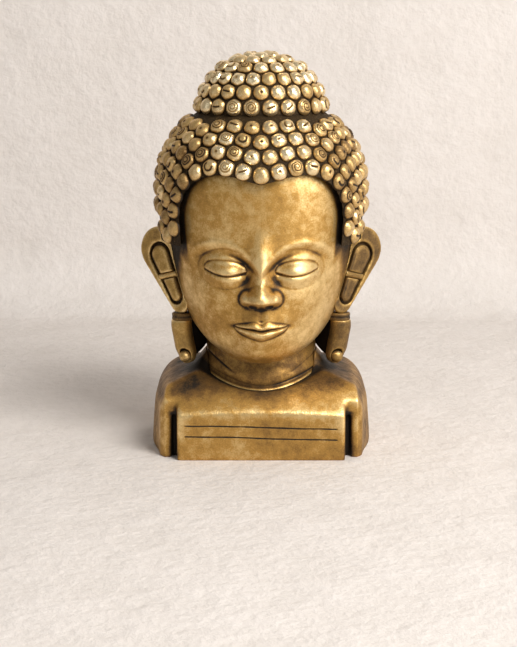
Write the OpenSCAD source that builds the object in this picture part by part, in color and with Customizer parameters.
/* [Shoulder block] */
// Width of the block across the arms
block_w = 108; // [104:1:114]
// Distance from the neck axis to the chest face
chest_out = 44; // [42:0.5:47]
// Distance from the neck axis to the back face
back_out = 34; // [32:0.5:38]
// Width of the chest between its two grooves
chest_w = 83; // [78:1:86]
// How far the arm fronts stand behind the chest face
arm_set = 6.5; // [5:0.5:9]
// Width of each groove beside the chest
groove_w = 4; // [3:0.25:5]
// Depth of each groove behind the arm fronts
groove_d = 3.5; // [2.5:0.5:4.5]
// Height of the shoulders at their crown
crown_h = 44.5; // [43:0.5:46]
// Distance of that crown behind the neck axis
crown_back = 2; // [0:0.5:4]
// Radius of the shoulder crown from front to back
crown_r = 62; // [60:1:68]
// Radius of the shoulder crown from side to side
yoke_r = 122; // [115:1:140]
// Radius of the shoulder corners
shoulder_r = 15; // [12:0.5:17]
// Radius of the upright corners at the back
back_corner_r = 14; // [8:1:18]
// Radius of the upright corners at the arm fronts
arm_corner_r = 5; // [3:0.5:6]
// Wall of the hollow block
block_wall = 7; // [5.5:0.5:8]
// Height of the upper incised chest line
line_z = 14.5; // [13:0.5:16]
// Distance between the two incised chest lines
line_step = 3.8; // [3:0.1:4.5]
// Radius of an incised line
line_r = 0.6; // [0.4:0.1:0.9]
// Distance of the lines' ends from the edges of the chest
line_end = 2; // [1.5:0.5:4]

/* [Neck] */
// Radius of the neck at its foot
neck_foot_r = 30; // [29:0.25:31]
// Radius of the neck where it enters the head
neck_r = 28; // [27:0.25:28.75]
// Radius of the bore up the neck
neck_bore_r = 20.5; // [18:0.5:22]
// Depth of the neck's seat below the shoulder crown
socket_d = 18; // [16:0.5:20]
// Radius of an incised neck line
neck_line_r = 0.8; // [0.5:0.1:1.2]
// Drop of the lower neck line below the chin
neck_line_drop = 8; // [6:0.5:9]
// Distance between the two neck lines
neck_line_step = 7; // [5:0.5:8]
// Height of the neck's lip above the head's floor
neck_lip = 2; // [1:0.5:4]

/* [Head] */
// Radius of the hair cap at its widest ring
head_r = 52; // [50.5:0.5:53]
// Height of the widest ring of the head
girth_z = 131; // [129:0.5:132]
// Radius of the head's curve above the widest ring
crown_arc = 46; // [44.5:0.5:48]
// Radius of the head's curve below the widest ring
nape_arc = 220; // [190:5:260]
// Thickness of the hair cap
cap_t = 4; // [3:0.25:5]
// Wall of the hollow head
head_wall = 7; // [5.5:0.5:8]
// Height of the chin
chin_z = 47; // [45.5:0.5:49]
// Height of the jaw at the ears above the chin
jaw_rise = 22; // [19:0.5:25]
// Height of the seam above the forehead over the widest ring
seam_rise = 20; // [18:0.5:22]
// Height of the head's floor above the jaw
floor_rise = 6; // [5:0.5:8]

/* [Face] */
// Front of the chin behind the front of the forehead
chin_back = 4.5; // [3:0.25:7]
// Width of one eye
eye_w = 21.2; // [19:0.2:23]
// Distance from the middle of the face to the middle of an eye
eye_out = 17.4; // [16:0.2:19]
// Sag of the lowered lids
eye_sag = 2.2; // [1.4:0.1:3]
// Reach of the nose in front of the face
nose_reach = 8.25; // [7.5:0.25:9.5]
// Half width of the nose across its wings
nose_half = 9.4; // [8.5:0.1:10.5]
// Half width of the mouth
mouth_half = 13.5; // [12:0.25:15]
// Height of the upper lip
lip_up = 3.6; // [3:0.1:4.2]
// Height of the lower lip
lip_low = 5; // [4.2:0.1:5.8]

/* [Hair] */
// Height of a hair curl
curl_h = 4.1; // [3:0.1:4.6]
// Widest radius of a hair curl
curl_r = 3.9; // [3.4:0.1:4.2]
// Distance between curls along a row
curl_step = 8.7; // [8.2:0.1:9.2]
// Distance round the head to the middle of the hairline's bend
bend_out = 21.8; // [20:0.2:23]
// Drop of that middle below the widest ring, along the head
bend_drop = 14.2; // [13:0.2:15.4]
// Radius of the bend in the first row of curls
bend_r = 29.2; // [28:0.2:30]
// Distance of the first row of curls behind the hairline
hairline_set = 4.2; // [4:0.1:4.8]
// Dip of the first row in the middle
peak_dip = 3.8; // [2:0.2:4.4]
// Half width of that dip
peak_half = 11; // [9:0.5:13]
// Drop of the side hair's hem below the widest ring
side_hem_drop = 26; // [25:0.5:27.5]
// Drop of the nape's hem below the widest ring
nape_hem_drop = 54.5; // [53:0.5:56]
// Distance of the nape hair behind the head's axis
nape_hair_y = 9; // [8.5:0.5:12]
// Distance of the last curls from the foot of the topknot
knot_clear = 8; // [7.5:0.25:9]

/* [Topknot] */
// Radius of the topknot's round
knot_arc = 28.1; // [27.5:0.1:28.6]
// Distance of that round's centre from the axis
knot_out = 3.7; // [3.2:0.1:4.2]
// Height of that round's centre above the widest ring
knot_rise = 37.5; // [37:0.25:38.5]
// Wall of the hollow topknot
knot_wall = 6; // [4.5:0.5:7]
// Radius of the vent between topknot and head
vent_r = 20; // [16:0.5:22]
// Height of a topknot curl
knot_curl_h = 3.4; // [2.6:0.1:4]
// Distance between rows of curls over the topknot
knot_pitch = 7.4; // [7.2:0.05:7.6]
// Rise of the lowest topknot row, along the round
knot_start = 4.6; // [4.5:0.1:5]
// Curls in the lowest topknot row
knot_curls = 22; // [20:1:23]

/* [Ears] */
// Distance of the ear's root inside the widest ring of the head
ear_set = 5.5; // [5:0.25:6.5]
// Distance of the ear's root in front of the head's axis
ear_fore = 10; // [9:0.25:11]
// Turn of the ear plate away from square
ear_flare = 35; // [32:1:38]
// Thickness of the ear plate
ear_t = 7; // [6:0.25:9]
// Drop of the ear's upper round below the widest ring of the head
ear_drop = 31.5; // [30.5:0.5:32.5]
// Height between the ear's upper and lower rounds
ear_len = 26; // [25:0.5:27]
// Distance of the upper round outside the root
ear_head_u = 6.3; // [5.8:0.1:6.8]
// Distance of the lower round inside the root
ear_foot_u = 6.1; // [5.6:0.1:6.5]
// Radius of the ear's upper round
ear_head_r = 12; // [11.5:0.25:12.5]
// Radius of the ear's lower round
ear_foot_r = 5.5; // [5.2:0.1:6]
// Drop of the loop's upper round below the ear's
loop_drop = 2.7; // [2.2:0.1:3.2]
// Height of the loop's lower round above the ear's
loop_rise = 3.4; // [3:0.1:3.8]
// Distance of the loop's upper round outside the root
loop_head_u = 6; // [5.6:0.1:6.4]
// Distance of the loop's lower round inside the root
loop_foot_u = 3.9; // [3.5:0.1:4.3]
// Radius of the loop's upper round
loop_head_r = 6.7; // [6.3:0.1:7.1]
// Radius of the loop's lower round
loop_foot_r = 4.4; // [4.1:0.1:4.7]
// Depth of the loop's pocket
pocket_d = 2.8; // [2:0.1:3.2]
// Width of the groove round the pads
pad_gap = 1.5; // [1.2:0.1:1.8]
// Set-back of the pads' raised middle from their sides
pad_step = 1.1; // [0.8:0.1:1.6]
// Height of the pads' raised middle above the face of the ear
pad_proud = 0.5; // [0.2:0.1:1]
// Distance of the band below the loop's upper round
band_drop = 9.9; // [9:0.1:11]
// Turn of the band from level
band_turn = 15; // [8:1:24]
// Radius of the band across the ear
band_r = 1.5; // [1.2:0.1:1.8]
// Height of the ear's tenon in its slot
tenon_h = 11; // [8:0.5:12]
// Set-back of that tenon from the faces of the plate
tenon_set = 0.2; // [0.15:0.05:0.4]
// Length of that tenon inside the root
tenon_l = 12; // [11.5:0.25:12.5]
// Radius of the ear lobe
lobe_r = 5.3; // [5:0.1:5.6]
// Length of the ear lobe
lobe_len = 22.6; // [21.5:0.2:23.5]
// Radius of the peg that holds the lobe
peg_r = 2; // [1.6:0.1:2.4]
// Length of that peg above the collar
peg_l = 4; // [3:0.25:5]
// Height of the collar over the lobe
collar_h = 3; // [2.4:0.1:3.6]
// Radius of the bead in the lobe's tip
bead_r = 3; // [2.6:0.1:3.3]
// Height of the bead above the lobe's end
bead_rise = 4; // [3.6:0.1:4.6]
// How far the bead stands out of the lobe
bead_proud = 1; // [0.6:0.1:1.4]
// Width of the slit over the bead
slit_w = 1.2; // [0.8:0.1:1.6]

/* [Joints] */
// Thickness of the slip in every luted joint
slip_gap = 0.15; // [0.1:0.01:0.3]

/* [Hidden] */
$fn = 64;
HAIR_ROWS = 16;
DIPPED_ROWS = 4;
KNOT_ROWS = 6;
SIDES = ["right", "left"];

GOLD = "#b08d46";
BRASS = "#9c7a3c";
DARK = "#4a3a22";
CLAY = "#a5643f";

far = 200;
over = 1;
jaw_z = chin_z + jaw_rise;
floor_z = jaw_z + floor_rise;
seam_z = girth_z + seam_rise;
ledge_z = crown_h - socket_d;
roof_z = ledge_z - block_wall;
neck_top_z = floor_z + neck_lip;
side_hem_z = girth_z - side_hem_drop;
nape_hem_z = girth_z - nape_hem_drop;
hairline = [for (p = bent_line(bend_r - hairline_set, peak_dip)) on_head(p)];
hairline_z = hairline[0][2];
knot_z = girth_z + knot_rise;
row_pitch = (PI * head_r - bend_out - bend_r) / (HAIR_ROWS - 0.5);
knot_foot = crown_arc * acos((knot_out + knot_arc - head_r + crown_arc) / crown_arc) * PI / 180;
ear_x = head_r - ear_set;
ear_y = -ear_fore;
ear_head_z = girth_z - ear_drop;
ear_foot_z = ear_head_z - ear_len;
loop_head_z = ear_head_z - loop_drop;
loop_foot_z = ear_foot_z + loop_rise;
lobe_top_z = ear_foot_z - ear_foot_r - collar_h - 2 * slip_gap;
lobe_end_z = lobe_top_z - lobe_len;

function smooth(t) = let (c = max(0, min(1, t))) c * c * (3 - 2 * c);
function bell(d) = exp(-d * d);
function mound(x, z, cx, cz, rx, rz, power) =
    pow(max(0, 1 - pow((x - cx) / rx, 2) - pow((z - cz) / rz, 2)), power);

// Shoulder block

function crown_at(y) = crown_h - crown_r + sqrt(crown_r * crown_r - pow(y - crown_back, 2));

yoke_mid = crown_h - yoke_r;

// What rounds a shoulder corner off, rolled into the arc between the shoulders
module corner_waste(inset) {
    corner_x = block_w / 2 - shoulder_r;
    corner_z = yoke_mid + sqrt(pow(yoke_r - shoulder_r, 2) - corner_x * corner_x);
    roll = atan2(corner_x, corner_z - yoke_mid);
    radius = shoulder_r - inset;
    reach = radius + over;
    translate([0, far / 2, 0]) rotate([90, 0, 0]) linear_extrude(far) difference() {
        polygon([
            [corner_x, corner_z],
            [corner_x + reach * sin(roll), corner_z + reach * cos(roll)],
            [corner_x + reach, corner_z + reach],
            [corner_x + reach, corner_z]
        ]);
        translate([corner_x, corner_z]) circle(radius);
    }
}

module block_side(inset) {
    intersection() {
        translate([crown_back, crown_h - crown_r]) circle(crown_r - inset, $fn = 180);
        translate([-chest_out - over, -over])
            square([chest_out + back_out + 2 * over, crown_h + over]);
    }
}

module rounded_strip(half, y0, y1, front_r, back_r) {
    translate([-half, y0 + front_r]) square([2 * half, y1 - y0 - front_r - back_r]);
    translate([-half + front_r, y0]) square([2 * (half - front_r), front_r]);
    translate([-half + back_r, y1 - back_r]) square([2 * (half - back_r), back_r]);
    for (s = [-1, 1]) {
        translate([s * (half - front_r), y0 + front_r]) circle(front_r);
        translate([s * (half - back_r), y1 - back_r]) circle(back_r);
    }
}

module block_plan(inset) {
    rounded_strip(block_w / 2 - inset, -chest_out + arm_set + inset, back_out - inset,
        max(arm_corner_r - inset, 0.5), max(back_corner_r - inset, 2));
    translate([-chest_w / 2 + inset, -chest_out + inset])
        square([chest_w - 2 * inset, chest_out]);
}

module block_form(inset, z0, z1) {
    difference() {
        intersection() {
            translate([-far / 2, 0, 0]) rotate([90, 0, 90]) linear_extrude(far) block_side(inset);
            translate([0, 0, z0]) linear_extrude(z1 - z0) block_plan(inset);
            translate([0, far / 2, yoke_mid]) rotate([90, 0, 0])
                cylinder(r = yoke_r - inset, h = far, $fn = 720);
        }
        for (s = [0, 1]) mirror([s, 0, 0]) corner_waste(inset);
    }
}

module chest_grooves() {
    groove_top = crown_at(-chest_out) - 1;
    back = -chest_out + arm_set + groove_d;
    for (s = [-1, 1]) translate([s * (chest_w + groove_w) / 2, 0, 0]) {
        translate([-groove_w / 2, -chest_out - over, -over])
            cube([groove_w, back + chest_out + over - groove_w / 2, groove_top + over]);
        translate([0, back - groove_w / 2, -over]) cylinder(r = groove_w / 2, h = groove_top + over);
    }
}

module chest_lines() {
    line_l = chest_w - 2 * line_end;
    for (k = [0, 1]) translate([-line_l / 2, -chest_out, line_z - k * line_step])
        rotate([0, 90, 0]) cylinder(r = line_r, h = line_l);
}

module shoulder_block() {
    color(GOLD) difference() {
        block_form(0, 0, crown_h + over);
        block_form(block_wall, -over, roof_z);
        chest_grooves();
        chest_lines();
        translate([0, 0, ledge_z]) cylinder(r = neck_foot_r + slip_gap, h = far);
        translate([0, 0, -over]) cylinder(r = neck_bore_r, h = far);
    }
}

// Neck

module neck_collar() {
    line_z0 = chin_z - neck_line_drop;
    foot_z = line_z0 - 2 * neck_line_r - over;
    waist_z = line_z0 + neck_line_step;
    function neck_at(z) = neck_r + (neck_foot_r - neck_r) * max(0, (waist_z - z) / (waist_z - foot_z));
    color(BRASS) difference() {
        rotate_extrude() polygon([
            [neck_bore_r, ledge_z + slip_gap],
            [neck_foot_r, ledge_z + slip_gap],
            [neck_foot_r, foot_z],
            [neck_r, waist_z],
            [neck_r, neck_top_z],
            [neck_bore_r, neck_top_z]
        ]);
        for (z = [line_z0, waist_z]) translate([0, 0, z])
            rotate_extrude() translate([neck_at(z), 0]) circle(neck_line_r, $fn = 24);
    }
}

// Head

function head_at(z, inset) = let (arc = z >= girth_z ? crown_arc : nape_arc)
    head_r - arc + sqrt(pow(arc - inset, 2) - pow(z - girth_z, 2));

module head_profile(inset, z0) {
    intersection() {
        translate([0, z0]) square([head_r + far, far]);
        union() {
            intersection() {
                translate([head_r - crown_arc, girth_z]) circle(crown_arc - inset, $fn = 180);
                translate([-far, girth_z]) square(2 * far);
            }
            intersection() {
                translate([head_r - nape_arc, girth_z]) circle(nape_arc - inset, $fn = 720);
                translate([-far, girth_z - far]) square([2 * far, far]);
            }
        }
    }
}

module head_solid(inset, z0) {
    rotate_extrude($fn = 96) head_profile(inset, z0);
}

module head_hollow() {
    head_solid(cap_t + head_wall, floor_z);
    cylinder(r = neck_r + slip_gap, h = floor_z + over);
}

module skull_shell() {
    color(CLAY) difference() {
        head_solid(cap_t, jaw_z);
        translate([-far / 2, -far, 0]) cube([far, far + slip_gap / 2, seam_z]);
        head_hollow();
        cylinder(r = vent_r, h = far);
    }
}

// Face, laid out on thirds between hairline and chin: its forms are drawn in thirtieths of a third above the chin

FACE_COLS = 70;
FACE_ROWS = 58;
FACE_THIRD = 30;
unit = (hairline_z - chin_z) / (3 * FACE_THIRD);
brow_at = 2 * FACE_THIRD;
nose_at = FACE_THIRD;
eye_at = brow_at - 0.38 * FACE_THIRD;
mouth_at = nose_at - 0.36 * FACE_THIRD;
eye_mid = eye_out / unit;
eye_half = eye_w / 2 / unit;
wing_mid = nose_half / unit - 3.6;
mouth_end = mouth_half / unit;

function merged(forms) = pow([for (f = forms) pow(max(0, f), 2.6)] * [for (f = forms) 1], 1 / 2.6);

function brow_line(x) = let (peak = eye_mid + 3.4)
    brow_at - (x < peak ? 9 * pow((peak - x) / 18, 2) : 6.5 * pow((x - peak) / 16, 2));

function brow_form(x, z) =
    let (
        below = brow_line(x) - z,
        edge = 0.5 * bell((below + 1) / 1.6) * (1 - smooth((x - 30) / 7)) * smooth((x - 4) / 5),
        deep = 1.6 + 2.3 * bell((x - 9) / 7)
    )
    edge - deep * smooth(below / 5) * (1 - smooth((below - 9) / 13)) * (1 - smooth((x - 25) / 14));

function eye_form(x, z) =
    let (
        t = (x - eye_mid) / eye_half,
        u = max(0, 1 - t * t),
        slit = eye_at - 1.4 - eye_sag / unit * u + 0.6 * t,
        crease = slit + 7.4 * pow(u, 0.55),
        inside = smooth(u / 0.22)
    )
    3.7 * mound(x, z, eye_mid, eye_at - 0.4, 13.6, 10, 1.35)
    + 0.55 * smooth((z - slit) / 0.7) * (1 - smooth((z - slit - 1.5) / 3.5)) * inside
    - 0.6 * bell((z - slit + 0.3) / 0.6) * smooth(u / 0.08)
    - 0.45 * bell((z - crease) / 0.8) * smooth(u / 0.12)
    + 0.3 * bell((z - slit + 2.3) / 1.3) * inside;

function nose_form(x, z) =
    let (
        reach = nose_reach / unit,
        root = brow_at + 1,
        tip = nose_at + 5,
        k = max(0, min(1, (root - z) / (root - tip))),
        ridge = 2.4 + (reach - 2.4) * pow(k, 1.2),
        width = 5 + 1.1 * smooth((k - 0.5) / 0.5),
        bridge = ridge * exp(-pow(x / width, 2.3)) * smooth((root + 9 - z) / 16),
        ball = (reach + 0.4) * mound(x, z, 0, tip, 6.8, 6.8, 0.75),
        wing = 5.6 * mound(x, z, wing_mid, nose_at + 4, 4.8, 4.8, 0.8)
    )
    merged([bridge, ball, wing]) * smooth((z - nose_at + 1.4) / 5)
    - 1.1 * mound(x, z, 3.8, nose_at + 0.8, 2.4, 1.7, 1);

function mouth_form(x, z) =
    let (
        m = min(1, x / mouth_end),
        u = 1 - m * m,
        line = mouth_at + 1.2 * m * m - 0.5 * bell(m / 0.2),
        bow = 0.6 * bell((m - 0.28) / 0.17) - 0.4 * bell(m / 0.12),
        top = line + lip_up / unit * pow(u, 0.75) + bow,
        low = line - lip_low / unit * pow(u, 0.65),
        up = max(0, min(1, (z - line) / max(0.01, top - line))),
        down = max(0, min(1, (line - z) / max(0.01, line - low))),
        tip = smooth(u / 0.4)
    )
    3 * mound(x, z, 0, mouth_at + 1, 21, 15, 2)
    + 1.5 * tip * pow(max(0, sin(180 * pow(up, 0.6))), 1.25)
    + 2.2 * tip * pow(max(0, sin(180 * pow(down, 0.7))), 1.2)
    - 0.55 * bell((z - line) / 0.6) * smooth((1.04 - x / mouth_end) / 0.15)
    - 0.8 * bell((x - mouth_end - 0.2) / 2.4) * bell((z - mouth_at - 1.2) / 2)
    - 1.1 * bell(x / 10) * bell((z - mouth_at + 9) / 3)
    - 0.6 * bell(x / 2) * smooth((z - top) / 1.5) * smooth((nose_at - z) / 2);

function flesh_form(x, z) =
    2.6 * mound(x, z, 0, 9.8, 15, 11.5, 2) + 2.2 * mound(x, z, eye_mid + 5.6, nose_at + 3, 20, 22, 2);

function face_form(ax, z) =
    let (x = ax / unit, h = (z - chin_z) / unit)
    unit * (brow_form(x, h) + eye_form(x, h) + nose_form(x, h) + mouth_form(x, h) + flesh_form(x, h));

jaw_r = head_at(jaw_z, cap_t);
jaw_fade = 8;
jaw_slope = (girth_z - jaw_z) / sqrt(pow(nape_arc - cap_t, 2) - pow(girth_z - jaw_z, 2));

function face_side(z) = z >= jaw_z ? head_at(z, cap_t)
    : jaw_r - jaw_slope * jaw_fade * (1 - exp((z - jaw_z) / jaw_fade));

function face_front(z) = z >= girth_z ? head_at(z, cap_t)
    : head_r - cap_t - chin_back * pow((girth_z - z) / (girth_z - chin_z), 2);

function face_point(i, j) =
    let (
        s = 2 * i / FACE_COLS - 1,
        turn = 90 * (0.72 * s + 0.28 * pow(s, 3)),
        v = j / FACE_ROWS,
        low = chin_z + jaw_rise * (1 - cos(turn)),
        z = low + v * (seam_z - slip_gap - low),
        side = face_side(z),
        round_in = 1 - max(0, 1 - v / 0.13),
        roll = 1 - 0.2 * (1 - sqrt(max(0, 1 - pow(1 - round_in, 2)))),
        x = side * sin(turn) * roll,
        depth = cos(turn) * (side + (face_front(z) - side) * pow(cos(turn), 2)) * roll,
        fade = smooth((cos(turn) - 0.05) / 0.25) * smooth(v / 0.05)
    )
    [x, -slip_gap / 2 - depth - fade * face_form(abs(x), z), z];

module face_mask() {
    wide = FACE_COLS + 1;
    apex = wide * (FACE_ROWS + 1);
    points = concat(
        [for (j = [0:FACE_ROWS], i = [0:FACE_COLS]) face_point(i, j)],
        [[0, -slip_gap / 2, jaw_z]]
    );
    skin = [for (j = [0:FACE_ROWS - 1], i = [0:FACE_COLS - 1], half = [0, 1]) let (a = j * wide + i)
        half == 0 ? [a, a + wide, a + wide + 1] : [a, a + wide + 1, a + 1]];
    under = [for (i = [0:FACE_COLS - 1]) [apex, i, i + 1]];
    top = [[for (i = [0:FACE_COLS]) FACE_ROWS * wide + FACE_COLS - i]];
    back = [concat(
        [apex],
        [for (j = [0:FACE_ROWS]) j * wide + FACE_COLS],
        [for (j = [0:FACE_ROWS]) (FACE_ROWS - j) * wide]
    )];
    polyhedron(points, concat(skin, under, top, back), convexity = 6);
}

module face_shell() {
    color(GOLD) difference() {
        face_mask();
        head_hollow();
        for (s = [0, 1]) mirror([s, 0, 0]) ear_tenon(slip_gap);
    }
}

// Hair, laid out unrolled in rows behind the hairline: distance round the head, and distance up from its widest ring

// Turn, radius, height and tilt of a place on the head
function on_head(p) =
    let (arc = p.y >= 0 ? crown_arc : nape_arc, tilt = p.y / arc * 180 / PI)
    [p.x / head_r * 180 / PI, head_r - arc + arc * cos(tilt), girth_z + arc * sin(tilt), tilt];

function seat_point(seat) = [seat[1] * sin(seat[0]), -seat[1] * cos(seat[0]), seat[2]];

// One half of a line round the hairline's bend, from the middle to below the hem
function bent_line(reach, dip) =
    let (
        steps = 48,
        flat = [for (i = [0:steps / 3]) [3 * i / steps * bend_out, reach - bend_drop]],
        bend = [for (i = [1:steps]) let (a = 90 * i / steps)
            [bend_out + reach * sin(a), reach * cos(a) - bend_drop]],
        fall = [for (i = [1:steps / 2]) [bend_out + reach, -bend_drop - nape_hem_drop * 2 * i / steps]]
    )
    [for (p = concat(flat, bend, fall)) [p.x, p.y - dip * bell(p.x / peak_half)]];

function row_line(k) =
    bent_line(bend_r + (k - 1) * row_pitch, peak_dip * max(0, 1 - (k - 1) / DIPPED_ROWS));

function lengths(line) =
    [for (i = 0, d = 0; i < len(line); d = d + norm(line[min(i + 1, len(line) - 1)] - line[i]), i = i + 1) d];

// Where a point lies on the ear: outwards along the plate, behind its face, and height
function ear_local(p) =
    let (dx = abs(p.x) - ear_x, dy = p.y - ear_y)
    [dx * cos(ear_flare) + dy * sin(ear_flare), dy * cos(ear_flare) - dx * sin(ear_flare), p.z];

function ear_clearance(q) =
    let (
        along = max(0, min(1, (ear_head_z - q.z) / ear_len)),
        centre = [ear_head_u - along * (ear_head_u + ear_foot_u), ear_head_z - along * ear_len],
        edge = norm([q.x, q.z] - centre) - ear_head_r - along * (ear_foot_r - ear_head_r)
    )
    max(edge, -q.y, q.y - ear_t);

function has_room(seat) =
    let (
        p = seat_point(seat),
        top = seat_point([seat[0], seat[1] + curl_h * cos(seat[3]), seat[2] + curl_h * sin(seat[3])]),
        room = curl_r + slip_gap,
        hem = p.y > nape_hair_y + room ? nape_hem_z : side_hem_z
    )
    p.z > hem + room && min(ear_clearance(ear_local(p)), ear_clearance(ear_local(top))) > room;

function row_half(k) =
    let (
        line = row_line(k),
        run = lengths([for (p = line) seat_point(on_head(p))]),
        last = len(line) - 1,
        open = [for (i = [0:last]) if (line[i].y <= knot_foot - knot_clear) i][0],
        start = run[open] + (open == 0 ? curl_step / 2 * ((k + 1) % 2) : 0),
        out = [for (i = [0:last]) [run[i], line[i].x]],
        up = [for (i = [0:last]) [run[i], line[i].y]]
    )
    [for (d = [start:curl_step:run[last]]) let (seat = on_head([lookup(d, out), lookup(d, up)]))
        if (has_room(seat)) seat];

function row_seats(k) =
    let (half = row_half(k))
    concat(half, [for (seat = half) if (seat[0] > 0) [-seat[0], seat[1], seat[2], seat[3]]]);

hair_points = [for (k = [1:HAIR_ROWS], seat = row_seats(k)) seat_point(seat)];

// A curl fills the room that its nearest neighbour leaves it
function curl_size(seat) =
    let (p = seat_point(seat))
    min(curl_r, (min([for (q = hair_points) let (d = norm(q - p)) if (d > over) d]) - slip_gap) / 2);

module hairline_window() {
    half = [for (h = hairline) [h[1] * sin(h[0]), h[2]]];
    rotate([90, 0, 0]) linear_extrude(far)
        polygon(concat(half, [for (i = [len(half) - 1:-1:1]) [-half[i].x, half[i].y]]));
}

module hair_cap() {
    color(DARK) difference() {
        head_solid(0, nape_hem_z);
        head_solid(cap_t - slip_gap, 0);
        hairline_window();
        translate([-far / 2, nape_hair_y - far, 0]) cube([far, far, side_hem_z]);
        cylinder(r = vent_r, h = far);
    }
}

module curl(radius, height) {
    rotate_extrude($fn = 32) polygon([
        [0, 0], [0.88 * radius, 0], [radius, 0.28 * height], [0.97 * radius, 0.5 * height],
        [0.82 * radius, 0.76 * height], [0.66 * radius, 0.87 * height], [0.58 * radius, 0.79 * height],
        [0.48 * radius, 0.88 * height], [0.24 * radius, height], [0, height]
    ]);
}

module set_curl(turn, radius, z, tilt) {
    rotate([0, 0, turn]) translate([0, -radius, z]) rotate([90 - tilt, 0, 0])
        translate([0, 0, slip_gap]) children();
}

module hair_row(k) {
    color(GOLD) for (seat = row_seats(k))
        set_curl(seat[0], seat[1], seat[2], seat[3]) curl(curl_size(seat), curl_h);
}

module topknot_dome() {
    color(DARK) difference() {
        rotate_extrude($fn = 96) intersection() {
            difference() {
                union() {
                    translate([knot_out, knot_z]) circle(knot_arc, $fn = 120);
                    translate([0, knot_z]) square([knot_out, knot_arc]);
                }
                translate([knot_out, knot_z]) circle(knot_arc - knot_wall, $fn = 120);
                square([knot_out, knot_z + knot_arc - knot_wall]);
            }
            translate([0, knot_z]) square(far);
        }
        head_solid(-slip_gap, nape_hem_z);
    }
}

module topknot_row(k) {
    tilt = (knot_start + (k - 1) * knot_pitch) / knot_arc * 180 / PI;
    radius = knot_out + knot_arc * cos(tilt);
    n = max(3, min(knot_curls, floor(2 * PI * radius / knot_pitch)));
    size = (min(knot_pitch, 2 * radius * sin(180 / n)) - slip_gap) / 2;
    color(GOLD) for (i = [0:n - 1])
        set_curl((i + (k % 2) / 2) * 360 / n, radius, knot_z + knot_arc * sin(tilt), tilt)
            curl(size, knot_curl_h);
}

// Ears, modelled on the right side

module ear_plane() {
    translate([ear_x, ear_y, 0]) rotate([0, 0, ear_flare]) rotate([90, 0, 0]) children();
}

// Long round outline between an upper and a lower circle
module long_round(head, r1, foot, r2) {
    axis = atan2(head.y - foot.y, head.x - foot.x);
    open = acos((r1 - r2) / norm(head - foot));
    function rim(c, r, a) = c + r * [cos(a), sin(a)];
    translate(head) circle(r1);
    translate(foot) circle(r2);
    polygon([
        rim(head, r1, axis + 180 - open), rim(foot, r2, axis + 180 - open),
        rim(foot, r2, axis + 180 + open), rim(head, r1, axis + 180 + open)
    ]);
}

module ear_slab(z0, z1) {
    ear_plane() translate([0, 0, z0]) linear_extrude(z1 - z0)
        long_round([ear_head_u, ear_head_z], ear_head_r, [-ear_foot_u, ear_foot_z], ear_foot_r);
}

module loop_slab(inset, z0, z1) {
    ear_plane() translate([0, 0, z0]) linear_extrude(z1 - z0)
        long_round([loop_head_u, loop_head_z], loop_head_r - inset, [-loop_foot_u, loop_foot_z], loop_foot_r - inset);
}

module ear_tenon(clearance) {
    foot_z = side_hem_z - tenon_h - 2 * slip_gap;
    thick = ear_t - pocket_d - 2 * tenon_set;
    ear_plane() translate([-tenon_l - clearance, foot_z - clearance, tenon_set - ear_t - clearance])
        cube([tenon_l + loop_head_u, tenon_h + 2 * clearance, thick + 2 * clearance]);
}

module lobe_axis() {
    shift = -ear_t / 2;
    ear_plane() translate([-ear_foot_u, 0, shift]) rotate([-90, 0, 0]) children();
}

module head_clearance() {
    head_solid(cap_t - slip_gap, 0);
    head_solid(-slip_gap, side_hem_z - slip_gap);
}

// The cheek above the jaw, which the collar and the lobe hang beside
module cheek_clearance() {
    head_solid(cap_t - slip_gap, jaw_z - slip_gap);
}

module ear() {
    color(BRASS) difference() {
        union() {
            difference() {
                ear_slab(-ear_t, 0);
                head_clearance();
            }
            ear_tenon(0);
        }
        loop_slab(0, -pocket_d, over);
        lobe_axis() cylinder(r = peg_r + slip_gap, h = lobe_top_z + collar_h + peg_l + 2 * slip_gap);
    }
}

module band_place() {
    along = band_drop / (loop_head_z - loop_foot_z);
    translate([loop_head_u - along * (loop_head_u + loop_foot_u), loop_head_z - band_drop, 0])
        rotate([0, 0, -band_turn]) children();
}

module ear_pads() {
    color(GOLD) difference() {
        union() {
            loop_slab(pad_gap, slip_gap - pocket_d, 0);
            loop_slab(pad_gap + pad_step, -pocket_d / 2, pad_proud);
        }
        ear_plane() band_place() translate([-ear_head_r, -band_r - slip_gap, -pocket_d])
            cube([2 * ear_head_r, 2 * (band_r + slip_gap), 2 * pocket_d]);
    }
}

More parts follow.
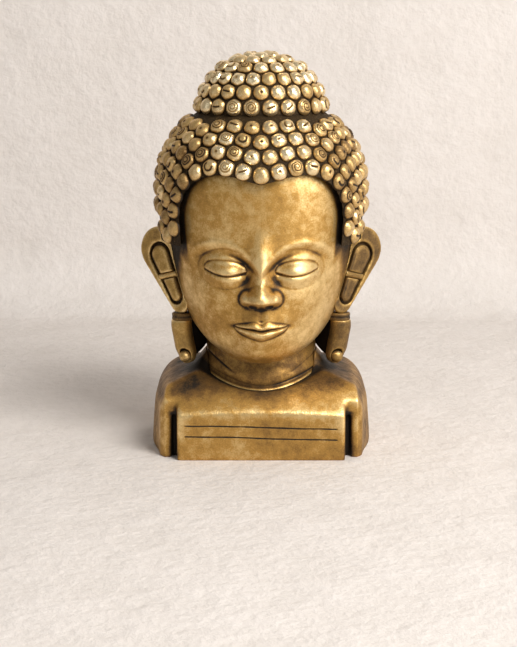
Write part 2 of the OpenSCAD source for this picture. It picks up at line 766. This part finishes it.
module ear_band() {
    color(GOLD) intersection() {
        loop_slab(slip_gap, slip_gap - pocket_d, pocket_d);
        ear_plane() band_place() translate([0, 0, slip_gap - pocket_d]) {
            translate([-ear_head_r, -band_r, 0]) cube([2 * ear_head_r, 2 * band_r, pocket_d - band_r]);
            translate([0, 0, pocket_d - band_r]) rotate([0, 90, 0])
                cylinder(r = band_r, h = 2 * ear_head_r, center = true);
        }
    }
}

module ear_collar() {
    bulge = collar_h / 4;
    color(DARK) difference() {
        lobe_axis() translate([0, 0, lobe_top_z + slip_gap]) rotate_extrude() {
            translate([peg_r + slip_gap, 0]) square([lobe_r - peg_r - bulge - slip_gap, collar_h]);
            for (k = [1, 3]) translate([lobe_r - bulge, k * bulge]) circle(bulge, $fn = 24);
        }
        cheek_clearance();
    }
}

module bead_place() {
    lobe_axis() translate([0, bead_r - bead_proud - lobe_r, lobe_end_z + bead_rise]) children();
}

module ear_lobe() {
    color(GOLD) union() {
        difference() {
            lobe_axis() rotate_extrude() polygon([
                [0, lobe_end_z], [0.5 * lobe_r, lobe_end_z + 0.07 * lobe_r],
                [0.8 * lobe_r, lobe_end_z + 0.3 * lobe_r], [0.95 * lobe_r, lobe_end_z + 0.64 * lobe_r],
                [lobe_r, lobe_end_z + 1.2 * lobe_r], [0.97 * lobe_r, lobe_top_z - 1.8 * lobe_r],
                [0.84 * lobe_r, lobe_top_z], [0, lobe_top_z]
            ]);
            bead_place() sphere(bead_r + slip_gap);
            bead_place() translate([0, -bead_r / 2, slit_w]) sphere(bead_r + slip_gap);
            cheek_clearance();
        }
        lobe_axis() translate([0, 0, lobe_top_z - over]) cylinder(r = peg_r, h = collar_h + peg_l + over);
    }
}

module lobe_bead() {
    color(BRASS) bead_place() sphere(bead_r);
}

module on_side(side) {
    mirror([side == "left" ? 1 : 0, 0, 0]) children();
}

shoulder_block();
neck_collar();
face_shell();
skull_shell();
hair_cap();
topknot_dome();
for (side = SIDES) {
    on_side(side) ear();
    on_side(side) ear_pads();
    on_side(side) ear_band();
    on_side(side) ear_collar();
    on_side(side) ear_lobe();
    on_side(side) lobe_bead();
}
for (k = [1:HAIR_ROWS]) hair_row(k);
for (k = [1:KNOT_ROWS]) topknot_row(k);
